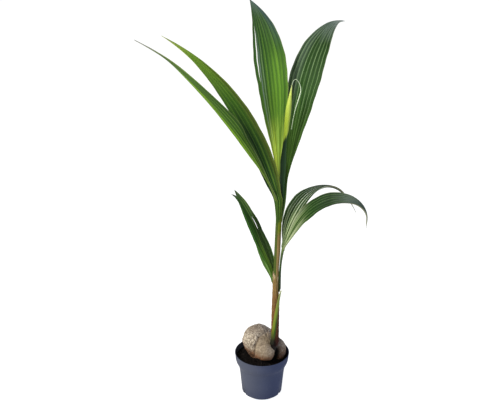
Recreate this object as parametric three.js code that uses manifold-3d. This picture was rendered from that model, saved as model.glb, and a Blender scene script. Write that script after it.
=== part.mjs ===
import * as THREE from 'three';
import { mergeVertices } from 'three/addons/utils/BufferGeometryUtils.js';
import Module from 'manifold-3d';

// A young coconut palm sprouting from its nut in a round nursery pot, in millimetres.
// +Z is up, the front looks towards -Y and the origin is the centre of the pot's underside.

// Clear space kept between neighbouring parts, and the room cut round a part that is let in.
const GAP = 0.3;
const FIT = 0.45;

// Pot: a thin tapered wall with a deep rim band, a sloped shoulder and a rounded foot.
const POT_HEIGHT = 145;
const RIM_RADIUS = 85;
const LIP_DEPTH = 3;
const LIP_REACH = 0.8;
const BAND_RADIUS = 82.5;
const BAND_LEVEL = 117;
const NECK_RADIUS = 70;
const NECK_LEVEL = 96;
const FOOT_RADIUS = 62;
const FOOT_LEVEL = 7;
const SOLE_RADIUS = 56.5;
const POT_WALL = 2;
const POT_FLOOR = 3;
const POT_SIDES = 48;

// Drain notches cut through the foot's corner, one at the back and one each side of the front.
const NOTCH_COUNT = 3;
const NOTCH_WIDTH = 13;
const NOTCH_HEIGHT = 8;
const NOTCH_INNER_RADIUS = 53;
const NOTCH_OUTER_RADIUS = 68;

// Soil fill, a little higher round the nut than at the wall.
const SOIL_LEVEL = 127;
const SOIL_MOUND = 3;
const SOIL_SHOULDER = 60;

// Nut: a husk of rounded lobes that run together at the sprout.
const NUT_CENTRE = new THREE.Vector3(0, 0, 165);
const NUT_LOBES = [
  { centre: new THREE.Vector3(-11.5, 3, 183), radius: 51 },
  { centre: new THREE.Vector3(7, -27, 169), radius: 39.5 },
  { centre: new THREE.Vector3(33, 6, 145), radius: 41.5 },
  { centre: new THREE.Vector3(3, 14, 161), radius: 54 },
];
const NUT_BLEND = 20;
const NUT_DETAIL = 8;

// Stem: rolled leaf bases, nearly upright, bent into the nut and widened at the crown.
const STEM_FOOT = new THREE.Vector3(36.5, -46, 197);
const STEM_TOP = new THREE.Vector3(48, -6, 666.7);
const STEM_BOW = -2.2;
const STEM_BOTTOM_LEVEL = 183;
const STEM_BEND_LEVEL = 219;
const STEM_BEND = new THREE.Vector2(-4, 7);
const STEM_FLARE = 9.5;
const STEM_LOWER_RADIUS = 7.4;
const STEM_UPPER_RADIUS = 6.9;
const STEM_WAIST_LEVEL = 600;
const CROWN_HALF_WIDTH = 15;
const CROWN_HALF_DEPTH = 12;
const STEM_LEVELS = 22;
const STEM_SIDES = 14;

// Sheath: the dry brown fibre wrapped round the lower stem, with a slanting torn top.
const SHEATH_BOTTOM = 194;
const SHEATH_TOP = 431;
const SHEATH_TORN_SLOPE = -0.9;
const SHEATH_LOWER_WALL = 2.8;
const SHEATH_UPPER_WALL = 1.5;
const SHEATH_LEVELS = 9;

// Old stalk: the green stump of a cut leaf that winds up the front of the sheath.
const OLD_STALK_BOTTOM = 204;
const OLD_STALK_TOP = 378;
const OLD_STALK_BEARINGS = [-118, -38];
const OLD_STALK_HALF_WIDTHS = [5.6, 2.8];
const OLD_STALK_HALF_DEPTH = 1.9;
const OLD_STALK_FLARE = 5;
const OLD_STALK_FLARE_POWER = 6;
const OLD_STALK_LEVELS = 10;

// Leaf stalks that leave the side of the stem and carry the two lower leaves.
const STALK_SIDES = 10;
const STALK_LEVELS = 8;
const STALK_BOW = 1.6;
const STALK_SWELL = 3;
const RIGHT_STALK = {
  bottom: 378, bearing: 34, head: new THREE.Vector3(61.5, -25, 522.7), radii: [2.6, 4.5],
};
const LEFT_STALK = {
  bottom: 380, bearing: 142, head: new THREE.Vector3(30, -17, 401.7), radii: [2.8, 4.2],
};

// Blades: each leaf is split into two pleated lobes. A lobe starts at its foot and grows for its
// length while its course sinks and turns; angles are in degrees, first at the foot, then at the tip.
// Its width swells to the widest place along the length, and the roll turns its face about its course.
const BLADE_FOOT_WIDTH = 7;
const BLADE_TIP_WIDTH = 1.5;
const BLADE_THICKNESS_SHARE = 0.01;
const BLADE_LEAST_THICKNESS = 1.6;
const BLADE_STEPS = 16;
const BLADE_STRIPS = 8;
const COURSE_STEPS = 60;
const PLEAT_DEPTH = 4;
const CUP = 0.05;

const FRESH_GREEN = '#5f8a35';
const DEEP_GREEN = '#3f6230';
const OLD_GREEN = '#35522b';

const LOBES = [
  {
    name: 'upright_lobe_left', colour: FRESH_GREEN, foot: [50, 2, 667], length: 588,
    rise: [83, 38.5], sink: 4.4, bearing: [120, 129.5], roll: [-12, -12.5],
    width: 96, widest: 0.65, taper: 1,
  },
  {
    name: 'upright_lobe_right', colour: DEEP_GREEN, foot: [57.5, 3.5, 667], length: 580,
    rise: [78, -0.5], sink: 4.35, bearing: [42, 46], roll: [1, 18.5],
    width: 97, widest: 0.61, taper: 1.15,
  },
  {
    name: 'leaning_lobe_upper', colour: FRESH_GREEN, foot: [45.5, -8.5, 667], length: 606,
    rise: [72.5, 34], sink: 1.45, bearing: [170.5, 205.5], roll: [-73.5, -37.5],
    width: 58, widest: 0.33, taper: 0.92,
  },
  {
    name: 'leaning_lobe_lower', colour: FRESH_GREEN, foot: [37, -15, 667], length: 663,
    rise: [69.5, 37.5], sink: 0.85, bearing: [213, 196.5], roll: [42, -1.5],
    width: 69, widest: 0.56, taper: 1.2,
  },
  {
    name: 'low_lobe_front', colour: OLD_GREEN, foot: [28.2, -20.5, 402], length: 300,
    rise: [72, 47.5], sink: 1.55, bearing: [159.5, 134], roll: [71.5, 73.5],
    width: 46, widest: 0.54, taper: 0.6,
  },
  {
    name: 'low_lobe_back', colour: OLD_GREEN, foot: [31, -13.5, 402], length: 303,
    rise: [72.5, 39.5], sink: 0.87, bearing: [125.5, 137.5], roll: [-61.5, -51],
    width: 38, widest: 0.46, taper: 0.7,
  },
  {
    name: 'arching_lobe_back', colour: DEEP_GREEN, foot: [60, -21, 523], length: 323, bend: 0.5,
    rise: [78.5, -50.5], sink: 1.44, bearing: [48, 25.5], roll: [25, -17.5],
    width: 55, widest: 0.4, taper: 1.65,
  },
  {
    name: 'arching_lobe_front', colour: DEEP_GREEN, foot: [63, -29, 523], length: 375, bend: 0.55,
    rise: [64, -92], sink: 2.7, bearing: [-39.5, -0.5], roll: [45.5, 14.5],
    width: 60, widest: 0.4, taper: 1.12,
  },
];

// Spear: the youngest leaf, still rolled to a point.
const SPEAR_FOOT = new THREE.Vector3(57, -8, 667);
const SPEAR_TIP = new THREE.Vector3(77, 2, 1013);
const SPEAR_LEAN = 2.3;
const SPEAR_FOOT_RADIUS = 3;
const SPEAR_RADIUS = 6.6;
const SPEAR_WIDEST = 0.86;
const SPEAR_LEVELS = 14;

const DEGREE = Math.PI / 180;
const UP = new THREE.Vector3(0, 0, 1);
const wasm = await Module();
wasm.setup();
const { lerp } = THREE.MathUtils;

// Turns a closed surface into a solid for cutting.
function solid(geometry) {
  const bare = geometry.clone();
  bare.deleteAttribute('normal');
  bare.deleteAttribute('uv');
  const welded = mergeVertices(bare, 1e-4);
  const index = welded.index.array;
  const triangles = [];
  for (let i = 0; i < index.length; i += 3) {
    const [a, b, c] = index.slice(i, i + 3);
    if (a !== b && b !== c && c !== a) triangles.push(a, b, c);
  }
  const vertProperties = new Float32Array(welded.attributes.position.array);
  const triVerts = new Uint32Array(triangles);
  return new wasm.Manifold(new wasm.Mesh({ numProp: 3, vertProperties, triVerts }));
}

// The surface of a cut solid.
function surfaceOf(body) {
  const { vertProperties, triVerts } = body.getMesh();
  const geometry = new THREE.BufferGeometry();
  geometry.setAttribute('position', new THREE.BufferAttribute(vertProperties, 3));
  geometry.setIndex(new THREE.BufferAttribute(triVerts, 1));
  return geometry;
}

// A body turned about the Z axis from a profile of [radius, level] pairs.
function turned(profile) {
  const points = profile.map(([radius, level]) => new THREE.Vector2(radius, level));
  return new THREE.LatheGeometry(points, POT_SIDES).rotateX(Math.PI / 2);
}

// Moves every vertex of a geometry to the place that a function gives for it.
function bent(geometry, place) {
  const position = geometry.attributes.position;
  const vertex = new THREE.Vector3();
  for (let i = 0; i < position.count; i += 1) {
    const moved = place(vertex.fromBufferAttribute(position, i));
    position.setXYZ(i, moved.x, moved.y, moved.z);
  }
  return geometry;
}

// A closed column through level oval rings. A ring has a centre, two half sizes, a turn in degrees
// about its own centre and a slope that lifts it along X.
function column(rings, sides) {
  const spans = rings.length - 1;
  const post = new THREE.CylinderGeometry(1, 1, spans, sides, spans).rotateX(Math.PI / 2);
  return bent(post, (vertex) => {
    const { centre, halfWidth, halfDepth, turn = 0, slope = 0 } = rings[Math.round(vertex.z + spans / 2)];
    const offset = new THREE.Vector3(halfWidth * vertex.x, halfDepth * vertex.y, 0);
    offset.applyAxisAngle(UP, turn * DEGREE);
    return offset.setZ(slope * offset.x).add(centre);
  });
}

function potBody() {
  const lipFoot = POT_HEIGHT - LIP_DEPTH;
  const inner = (radius) => radius - POT_WALL;
  const body = solid(turned([
    [0, 0],
    [SOLE_RADIUS, 0],
    [(SOLE_RADIUS + 2 * FOOT_RADIUS) / 3, FOOT_LEVEL / 3],
    [FOOT_RADIUS, FOOT_LEVEL],
    [NECK_RADIUS, NECK_LEVEL],
    [BAND_RADIUS, BAND_LEVEL],
    [RIM_RADIUS - LIP_REACH, lipFoot],
    [RIM_RADIUS, lipFoot],
    [RIM_RADIUS, POT_HEIGHT],
    [inner(RIM_RADIUS), POT_HEIGHT],
    [inner(BAND_RADIUS), BAND_LEVEL],
    [inner(NECK_RADIUS), NECK_LEVEL],
    [inner(FOOT_RADIUS), FOOT_LEVEL],
    [inner(SOLE_RADIUS), POT_FLOOR],
    [0, POT_FLOOR],
  ]));
  const reach = NOTCH_OUTER_RADIUS - NOTCH_INNER_RADIUS;
  const middle = (NOTCH_OUTER_RADIUS + NOTCH_INNER_RADIUS) / 2;
  let cut = body;
  for (let k = 0; k < NOTCH_COUNT; k += 1) {
    const notch = new THREE.BoxGeometry(reach, NOTCH_WIDTH, 2 * NOTCH_HEIGHT);
    notch.translate(middle, 0, 0);
    notch.rotateZ(Math.PI / 2 + (2 * Math.PI * k) / NOTCH_COUNT);
    cut = cut.subtract(solid(notch));
  }
  return cut;
}

// The nut's husk, grown outward by an allowance for the parts that are fitted round it.
function nutBody(allowance) {
  const husk = new THREE.IcosahedronGeometry(1, NUT_DETAIL);
  return solid(bent(husk, (point) => {
    const reach = NUT_LOBES.reduce((sum, { centre, radius }) => {
      const offset = centre.clone().sub(NUT_CENTRE);
      const ahead = point.dot(offset);
      const far = ahead + Math.sqrt(radius ** 2 - offset.lengthSq() + ahead ** 2);
      return sum + far ** NUT_BLEND;
    }, 0);
    return point.multiplyScalar(reach ** (1 / NUT_BLEND) + allowance).add(NUT_CENTRE);
  }));
}

function soilBody() {
  const wall = (radius) => radius - POT_WALL - GAP;
  const floor = POT_FLOOR + GAP;
  const share = (SOIL_LEVEL - BAND_LEVEL) / (POT_HEIGHT - LIP_DEPTH - BAND_LEVEL);
  const edge = wall(lerp(BAND_RADIUS, RIM_RADIUS - LIP_REACH, share));
  return solid(turned([
    [0, floor],
    [wall(SOLE_RADIUS), floor],
    [wall(FOOT_RADIUS), FOOT_LEVEL + GAP],
    [wall(NECK_RADIUS), NECK_LEVEL + GAP],
    [wall(BAND_RADIUS), BAND_LEVEL + GAP],
    [edge, SOIL_LEVEL],
    [SOIL_SHOULDER, SOIL_LEVEL + SOIL_MOUND],
    [0, SOIL_LEVEL + SOIL_MOUND],
  ])).subtract(nutBody(FIT));
}

// Centre of the stem at a level, with the bend that carries its foot into the nut.
function stemCentre(level) {
  const share = (level - STEM_FOOT.z) / (STEM_TOP.z - STEM_FOOT.z);
  const centre = STEM_FOOT.clone().lerp(STEM_TOP, share);
  const bend = Math.max(0, (STEM_BEND_LEVEL - level) / (STEM_BEND_LEVEL - STEM_BOTTOM_LEVEL)) ** 2;
  centre.x += STEM_BEND.x * bend + STEM_BOW * Math.sin(Math.PI * share);
  centre.y += STEM_BEND.y * bend;
  return centre;
}

// Half sizes of the stem at a level: a flared foot, a slow taper and a wide oval crown.
function stemHalfSizes(level) {
  const height = (level - STEM_BEND_LEVEL) / (STEM_WAIST_LEVEL - STEM_BEND_LEVEL);
  const shaft = lerp(STEM_LOWER_RADIUS, STEM_UPPER_RADIUS, THREE.MathUtils.clamp(height, 0, 1));
  const flare = Math.max(0, (STEM_BEND_LEVEL - level) / (STEM_BEND_LEVEL - STEM_BOTTOM_LEVEL));
  const crown = Math.max(0, (level - STEM_WAIST_LEVEL) / (STEM_TOP.z - STEM_WAIST_LEVEL));
  const round = lerp(shaft, STEM_FLARE, flare);
  return [lerp(round, CROWN_HALF_WIDTH, crown), lerp(round, CROWN_HALF_DEPTH, crown)];
}

function stemGeometry(allowance) {
  const rings = [];
  for (let i = 0; i <= STEM_LEVELS; i += 1) {
    const level = lerp(STEM_BOTTOM_LEVEL, STEM_TOP.z, i / STEM_LEVELS);
    const [halfWidth, halfDepth] = stemHalfSizes(level).map((half) => half + allowance);
    rings.push({ centre: stemCentre(level), halfWidth, halfDepth });
  }
  rings[0].centre.z -= allowance;
  return column(rings, STEM_SIDES);
}

function sheathRadius(level) {
  const share = (level - SHEATH_BOTTOM) / (SHEATH_TOP - SHEATH_BOTTOM);
  return stemHalfSizes(level)[0] + lerp(SHEATH_LOWER_WALL, SHEATH_UPPER_WALL, share);
}

function sheathGeometry() {
  const rings = [];
  for (let i = 0; i <= SHEATH_LEVELS; i += 1) {
    const level = lerp(SHEATH_BOTTOM, SHEATH_TOP, i / SHEATH_LEVELS);
    const radius = sheathRadius(level);
    const slope = i === SHEATH_LEVELS ? SHEATH_TORN_SLOPE : 0;
    rings.push({ centre: stemCentre(level), halfWidth: radius, halfDepth: radius, slope });
  }
  return column(rings, STEM_SIDES);
}

function oldStalkGeometry() {
  const rings = [];
  for (let i = 0; i <= OLD_STALK_LEVELS; i += 1) {
    const share = i / OLD_STALK_LEVELS;
    const level = lerp(OLD_STALK_BOTTOM, OLD_STALK_TOP, share);
    const turn = lerp(OLD_STALK_BEARINGS[0], OLD_STALK_BEARINGS[1], share);
    const flare = OLD_STALK_FLARE * share ** OLD_STALK_FLARE_POWER;
    const reach = sheathRadius(level) + GAP + OLD_STALK_HALF_DEPTH + flare;
    const centre = stemCentre(level);
    centre.x += reach * Math.cos(turn * DEGREE);
    centre.y += reach * Math.sin(turn * DEGREE);
    const halfDepth = lerp(OLD_STALK_HALF_WIDTHS[0], OLD_STALK_HALF_WIDTHS[1], share);
    rings.push({ centre, halfWidth: OLD_STALK_HALF_DEPTH, halfDepth, turn });
  }
  return column(rings, STALK_SIDES);
}

// A leaf stalk: it lies against the stem at its bottom and bows out to its head.
function stalkGeometry({ bottom, bearing, head, radii }, allowance) {
  const foot = stemCentre(bottom);
  const reach = stemHalfSizes(bottom)[0] + 3 * GAP + radii[0];
  foot.x += reach * Math.cos(bearing * DEGREE);
  foot.y += reach * Math.sin(bearing * DEGREE);
  const rings = [];
  for (let i = 0; i <= STALK_LEVELS; i += 1) {
    const share = i / STALK_LEVELS;
    const centre = foot.clone().lerp(head, share ** STALK_BOW);
    centre.z = lerp(bottom, head.z, share);
    const radius = lerp(radii[0], radii[1], share ** STALK_SWELL) + allowance;
    rings.push({ centre, halfWidth: radius, halfDepth: radius });
  }
  rings[0].centre.z -= allowance;
  return column(rings, STALK_SIDES);
}

function spearGeometry() {
  const rings = [];
  for (let i = 0; i <= SPEAR_LEVELS; i += 1) {
    const share = i / SPEAR_LEVELS;
    const swelling = lerp(SPEAR_FOOT_RADIUS, SPEAR_RADIUS, share / SPEAR_WIDEST);
    const pointing = (SPEAR_RADIUS * (1 - share)) / (1 - SPEAR_WIDEST);
    const half = Math.max(Math.min(swelling, pointing), BLADE_TIP_WIDTH / 2);
    const centre = SPEAR_FOOT.clone().lerp(SPEAR_TIP, share ** SPEAR_LEAN);
    centre.z = lerp(SPEAR_FOOT.z, SPEAR_TIP.z, share);
    rings.push({ centre, halfWidth: half, halfDepth: half });
  }
  return column(rings, STALK_SIDES);
}

// Directions of a lobe at a share of its length: ahead along it, across its width and out of its face.
function lobeFrame(lobe, share) {
  const rise = lerp(lobe.rise[0], lobe.rise[1], share ** lobe.sink) * DEGREE;
  const bearing = lerp(lobe.bearing[0], lobe.bearing[1], share) * DEGREE;
  const roll = lerp(lobe.roll[0], lobe.roll[1], share) * DEGREE;
  const level = Math.cos(rise);
  const ahead = new THREE.Vector3(level * Math.cos(bearing), level * Math.sin(bearing), Math.sin(rise));
  const across = new THREE.Vector3(-Math.sin(bearing), Math.cos(bearing), 0).applyAxisAngle(ahead, roll);
  return { ahead, across, face: new THREE.Vector3().crossVectors(ahead, across) };
}

// The middle line of a lobe, added up from its foot.
function lobeCourse(lobe) {
  const course = [new THREE.Vector3(...lobe.foot)];
  const step = lobe.length / COURSE_STEPS;
  for (let i = 0; i < COURSE_STEPS; i += 1) {
    const { ahead } = lobeFrame(lobe, (i + 0.5) / COURSE_STEPS);
    course.push(course[i].clone().addScaledVector(ahead, step));
  }
  return course;
}

function lobeWidth(lobe, share) {
  const skew = Math.log(0.5) / Math.log(lobe.widest);
  const swell = lobe.width * Math.max(0, Math.sin(Math.PI * share ** skew)) ** lobe.taper;
  return Math.max(swell, BLADE_FOOT_WIDTH * (1 - share), BLADE_TIP_WIDTH);
}

// The pleated blade of a lobe between two shares of its length: a thin slab bent along the course.
function lobeGeometry(lobe, from, to) {
  const steps = Math.max(6, Math.round(BLADE_STEPS * (to - from)));
  const course = lobeCourse(lobe);
  const slab = new THREE.BoxGeometry(BLADE_STRIPS, 1, 1, BLADE_STRIPS, steps, 1);
  return bent(slab, ({ x, y, z }) => {
    const share = lerp(from, to, y + 0.5);
    const spot = Math.min(share * COURSE_STEPS, COURSE_STEPS - 1e-6);
    const middle = course[Math.floor(spot)].clone().lerp(course[Math.floor(spot) + 1], spot % 1);
    const { across, face } = lobeFrame(lobe, share);
    const width = lobeWidth(lobe, share);
    const fullest = Math.min(BLADE_THICKNESS_SHARE * lobe.length, width / 2);
    const thickness = Math.max(BLADE_LEAST_THICKNESS, fullest);
    const aside = (-2 * x) / BLADE_STRIPS;
    const ridge = Math.round(x + BLADE_STRIPS / 2) % 2 === 0 ? -0.5 : 0.5;
    const pleat = ridge * PLEAT_DEPTH * (width / lobe.width);
    const lift = pleat + CUP * width * aside ** 2 + z * thickness;
    const point = middle.clone().addScaledVector(across, (aside * width) / 2).addScaledVector(face, lift);
    return share === 0 ? point.setZ(middle.z) : point;
  });
}

const palm = new THREE.Group();
palm.name = 'potted_coconut_palm';

function addPart(name, geometry, color, roughness) {
  const material = new THREE.MeshStandardMaterial({ color, roughness, metalness: 0 });
  geometry.computeVertexNormals();
  const mesh = new THREE.Mesh(geometry, material);
  mesh.name = name;
  palm.add(mesh);
}

const stemRoom = solid(stemGeometry(FIT));
const nutRoom = nutBody(FIT);
const stalkRooms = [RIGHT_STALK, LEFT_STALK].map((stalk) => solid(stalkGeometry(stalk, FIT)));
const sheath = stalkRooms.reduce(
  (body, room) => body.subtract(room),
  solid(sheathGeometry()).subtract(stemRoom).subtract(nutRoom),
);

addPart('pot', surfaceOf(potBody()), '#4d5262', 0.55);
addPart('soil', surfaceOf(soilBody()), '#16110f', 1);
addPart('nut', surfaceOf(nutBody(0).subtract(stemRoom)), '#a3927a', 0.95);
addPart('stem', stemGeometry(0), '#6d7035', 0.7);
addPart('sheath', surfaceOf(sheath), '#7a5635', 0.95);
addPart('old_stalk', surfaceOf(solid(oldStalkGeometry()).subtract(nutRoom)), '#7f9440', 0.6);
addPart('stalk_right', stalkGeometry(RIGHT_STALK, 0), '#4c6330', 0.6);
addPart('stalk_left', stalkGeometry(LEFT_STALK, 0), '#4c6330', 0.6);
addPart('spear', spearGeometry(), '#c2d15a', 0.5);

LOBES.forEach((lobe) => {
  if (lobe.bend === undefined) {
    addPart(lobe.name, lobeGeometry(lobe, 0, 1), lobe.colour, 0.5);
    return;
  }
  const clear = GAP / lobe.length;
  addPart(`${lobe.name}_base`, lobeGeometry(lobe, 0, lobe.bend), lobe.colour, 0.5);
  addPart(`${lobe.name}_tip`, lobeGeometry(lobe, lobe.bend + clear, 1), lobe.colour, 0.5);
});

export default palm;
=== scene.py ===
import math
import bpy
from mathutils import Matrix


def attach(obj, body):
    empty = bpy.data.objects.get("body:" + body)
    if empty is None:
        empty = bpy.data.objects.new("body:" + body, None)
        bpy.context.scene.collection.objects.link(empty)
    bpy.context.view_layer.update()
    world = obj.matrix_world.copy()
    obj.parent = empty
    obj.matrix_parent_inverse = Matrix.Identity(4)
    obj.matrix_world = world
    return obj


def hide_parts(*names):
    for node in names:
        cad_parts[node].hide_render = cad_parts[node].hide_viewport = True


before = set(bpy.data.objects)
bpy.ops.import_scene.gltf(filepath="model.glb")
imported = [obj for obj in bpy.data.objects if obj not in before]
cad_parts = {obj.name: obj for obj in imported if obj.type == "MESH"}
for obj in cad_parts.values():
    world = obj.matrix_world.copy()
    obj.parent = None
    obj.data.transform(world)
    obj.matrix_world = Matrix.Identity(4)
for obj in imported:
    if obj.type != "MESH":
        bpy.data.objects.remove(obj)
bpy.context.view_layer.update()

from types import SimpleNamespace

import bmesh
import bpy
import numpy as np
from mathutils import Vector, noise

MM = 0.001
TURN = 2 * math.pi
rng = np.random.default_rng(11)


# Small helpers

def lerp(a, b, share):
    return a + (b - a) * share


def smooth(low, high, value):
    """A soft step from 0 at low to 1 at high."""
    share = np.clip((value - low) / (high - low), 0, 1)
    return share * share * (3 - 2 * share)


def hill(value, middle, spread):
    """A bell curve that is 1 at its middle."""
    return np.exp(-((value - middle) / spread) ** 2)


def facing(turn):
    """Level directions outwards and sideways at a turn about the Z axis."""
    return np.array([math.cos(turn), math.sin(turn), 0]), np.array([-math.sin(turn), math.cos(turn), 0])


def srgb(colour):
    """A colour as it looks on a screen, turned into the linear colour that a shader takes."""
    parts = np.array(colour) / 255
    low = parts / 12.92
    high = ((parts + 0.055) / 1.055) ** 2.4
    return (*np.where(parts <= 0.04045, low, high).tolist(), 1)


def rough_noise(points, scale, octaves=3):
    """Soft noise between about -1 and 1 at many points."""
    values = np.zeros(len(points))
    for k in range(octaves):
        step = scale * 2 ** k
        values += [noise.noise(Vector(p * step)) / 2 ** k for p in points]
    return values


# Materials

class Sheet:
    """A material with one shader, and short ways to add nodes. A factor is a socket, a number or a soft step:
    (value, low, high) and perhaps the results at low and high. A colour is a socket or a screen colour."""

    def __init__(self, name, roughness, specular):
        self.material = bpy.data.materials.new(name)
        self.material.use_nodes = True
        self.tree = self.material.node_tree
        self.inputs = self.tree.nodes["Principled BSDF"].inputs
        self.inputs["Roughness"].default_value = roughness
        self.inputs["Specular IOR Level"].default_value = specular
        self.colour = None

    def put(self, value, socket):
        if isinstance(value, bpy.types.NodeSocket):
            self.tree.links.new(value, socket)
        else:
            socket.default_value = value

    def node(self, kind, sockets, output=0, **settings):
        item = self.tree.nodes.new("ShaderNode" + kind)
        for key, value in settings.items():
            setattr(item, key, value)
        for key, value in sockets.items():
            self.put(value, item.inputs[key])
        return item.outputs[output]

    def math(self, operation, *values):
        return self.node("Math", dict(enumerate(values)), operation=operation)

    def add(self, value, other, weight):
        return self.math("MULTIPLY_ADD", other, weight, value)

    def off_middle(self, value):
        """How far a value is from the half between two whole numbers."""
        return self.math("ABSOLUTE", self.math("SUBTRACT", self.math("FRACT", value), 0.5))

    def step(self, value, low, high, to_low=0, to_high=1):
        sockets = dict(enumerate((value, low, high, to_low, to_high)))
        return self.node("MapRange", sockets, interpolation_type="SMOOTHSTEP")

    def times(self, *factors):
        """The product of the factors."""
        product, *others = [self.step(*each) if isinstance(each, tuple) else each for each in factors]
        for other in others:
            product = self.math("MULTIPLY", product, other)
        return product

    def place(self):
        return self.node("TexCoord", {}, output="Object")

    def axis(self, vector, name):
        return self.node("SeparateXYZ", {0: vector}, output=name)

    def map(self, name):
        """The two coordinates of one of the mesh's maps."""
        split = self.axis(self.node("UVMap", {}, uv_map=name), "X").node
        return split.outputs["X"], split.outputs["Y"]

    def scaled(self, vector, scale):
        return self.node("VectorMath", {0: vector, 1: scale}, operation="MULTIPLY")

    def noise(self, vector, scale, detail=3, roughness=0.55):
        sockets = {"Vector": vector, "Scale": scale, "Detail": detail, "Roughness": roughness}
        return self.node("TexNoise", sockets)

    def streaks(self, along, counts, seed=0, detail=3):
        """Noise over a map, with a count of its spots across and along."""
        x, y = (self.times(*pair) for pair in zip(along, counts))
        return self.noise(self.node("CombineXYZ", {0: x, 1: y, 2: seed}), 1, detail)

    def mix(self, factor, *colours):
        first, second = (srgb(each) if isinstance(each, tuple) else each for each in colours)
        return self.node("Mix", {0: self.times(factor), 6: first, 7: second}, output=2, data_type="RGBA")

    def ramp(self, value, stops):
        item = self.node("ValToRGB", {"Fac": value}).node
        elements = item.color_ramp.elements
        while len(elements) < len(stops):
            elements.new(1)
        for element, (place, colour) in zip(elements, stops):
            element.position = place
            element.color = srgb(colour)
        return item.outputs["Color"]

    def paint(self, colour, *factors):
        """Lays a colour over the colour so far, as much as the product of the factors says."""
        self.colour = self.mix(self.times(*factors), self.colour, colour)

    def finish(self, roughness=None, height=None, depth=0.001, strength=1):
        self.put(self.colour, self.inputs["Base Color"])
        if roughness is not None:
            self.put(self.times(roughness), self.inputs["Roughness"])
        if height is not None:
            bump = self.node("Bump", {"Height": height, "Distance": depth, "Strength": strength})
            self.put(bump, self.inputs["Normal"])
        return self.material


def streaked(name, roughness, specular, fine, coarse):
    """A sheet for a stem, the two coordinates of its map, round and along, and thin and wide streaks."""
    sheet = Sheet(name, roughness, specular)
    along = sheet.map("along")
    return sheet, *along, sheet.streaks(along, (fine, 3), detail=4), sheet.streaks(along, (coarse, 5), 3)


# Meshes and pieces

ASLANT = (0.31, -0.9, 0.3)


def linked(name, data):
    obj = bpy.data.objects.new(name, data)
    bpy.context.scene.collection.objects.link(obj)
    return obj


def piece(name, shape, material, nodes=(), sharp=50):
    """A shape in millimetres (points, faces and maps) becomes a piece that stands for the named solids.
    Edges that bend by more than sharp degrees stay sharp."""
    verts, faces, maps = shape
    mesh = bpy.data.meshes.new(name)
    mesh.from_pydata((np.asarray(verts) * MM).tolist(), [], [list(map(int, face)) for face in faces])
    for map_name, values in maps.items():
        layer = mesh.uv_layers.new(name=map_name)
        layer.data.foreach_set("uv", np.asarray(values, dtype=np.float32).ravel())
    mesh.polygons.foreach_set("use_smooth", np.ones(len(mesh.polygons), dtype=bool))
    mesh.set_sharp_from_angle(angle=math.radians(sharp))
    mesh.materials.append(material)
    obj = linked(name, mesh)
    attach(obj, "root")
    if nodes:
        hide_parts(*nodes)
    return obj


def joined(shapes):
    """One shape from several that have the same maps."""
    verts, faces, start = [], [], 0
    maps = {name: [] for name in shapes[0][2]}
    for points, loops, places in shapes:
        verts.append(points)
        faces.extend((np.asarray(loop) + start).tolist() for loop in loops)
        for name in maps:
            maps[name].extend(places[name])
        start += len(points)
    return np.concatenate(verts), faces, maps


def ball(detail):
    """Points and faces of a ball of radius 1."""
    shape = bmesh.new()
    bmesh.ops.create_icosphere(shape, subdivisions=detail, radius=1)
    points = np.array([vert.co for vert in shape.verts])
    faces = [[vert.index for vert in face.verts] for face in shape.faces]
    shape.free()
    return points, faces


def ring_faces(rows, sides):
    """Quads between rows of points that each close in a ring."""
    row, side = np.meshgrid(np.arange(rows - 1) * sides, np.arange(sides), indexing="ij")
    beside = (side + 1) % sides
    corners = [row + side, row + beside, row + sides + beside, row + sides + side]
    return np.stack(corners, -1).reshape(-1, 4)


def ring_map(faces, around, along):
    """A map for ring faces, round in X and along in Y, that runs on past 1 at the seam."""
    places = []
    for face in faces:
        at_seam = around[face[0]] > 0.75
        for corner in face:
            lap = 1 if at_seam and around[corner] < 0.25 else 0
            places.append((around[corner] + lap, along[corner]))
    return places


def column(rings, sides, profile=None):
    """A closed tube. Each ring is a centre and two half axes, which profile(angles, share) scales."""
    angles = np.arange(sides) * TURN / sides
    count = len(rings)
    rows = []
    for k, (centre, side, front) in enumerate(rings):
        reach = profile(angles, k / (count - 1)) if profile else 1
        rows.append(centre + np.outer(reach * np.cos(angles), side) + np.outer(reach * np.sin(angles), front))
    number = np.arange(count * sides)
    around = number % sides / sides
    along = number // sides / (count - 1)
    faces = ring_faces(count, sides).tolist()
    places = ring_map(faces, around, along)
    for end in (number[:sides][::-1], number[-sides:]):
        faces.append(end.tolist())
        places.extend(zip(around[end], along[end]))
    return np.concatenate(rows), faces, {"along": places}


def level_ring(centre, half_width, half_depth):
    return centre, np.array([half_width, 0, 0]), np.array([0, half_depth, 0])


def tube(points, radii, sides):
    """A thin round thread through the points."""
    ahead = np.gradient(points, axis=0)
    ahead /= np.linalg.norm(ahead, axis=1)[:, None]
    rings = []
    for point, way, radius in zip(points, ahead, radii):
        side = np.cross(way, ASLANT)
        side /= np.linalg.norm(side)
        rings.append((point, side * radius, np.cross(way, side) * radius))
    return column(rings, sides)


def curve(points, steps):
    """A smooth course through a few points."""
    spread = np.concatenate([[2 * points[0] - points[1]], points, [2 * points[-1] - points[-2]]])
    course = []
    for k in range(len(points) - 1):
        a, b, c, d = spread[k:k + 4]
        for share in np.arange(steps) / steps:
            course.append(0.5 * (2 * b + (c - a) * share + (2 * a - 5 * b + 4 * c - d) * share ** 2
                                 + (3 * b - a - 3 * c + d) * share ** 3))
    return np.array([*course, points[-1]])


# Camera, floor and light, in metres

CAMERA_PLACE = (-0.0377, -2.5, 1.75)
CAMERA_TILT = 66.5
CAMERA_LENS = 67.25
SENSOR_WIDTH = 36
FLOOR_HALF = 14
FLOOR_LEVEL = -0.0005
FLOOR_GLOW = 0.93
SKY_COLOUR = (0.95, 0.98, 1, 1)
SKY_STRENGTH = 0.4
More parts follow.
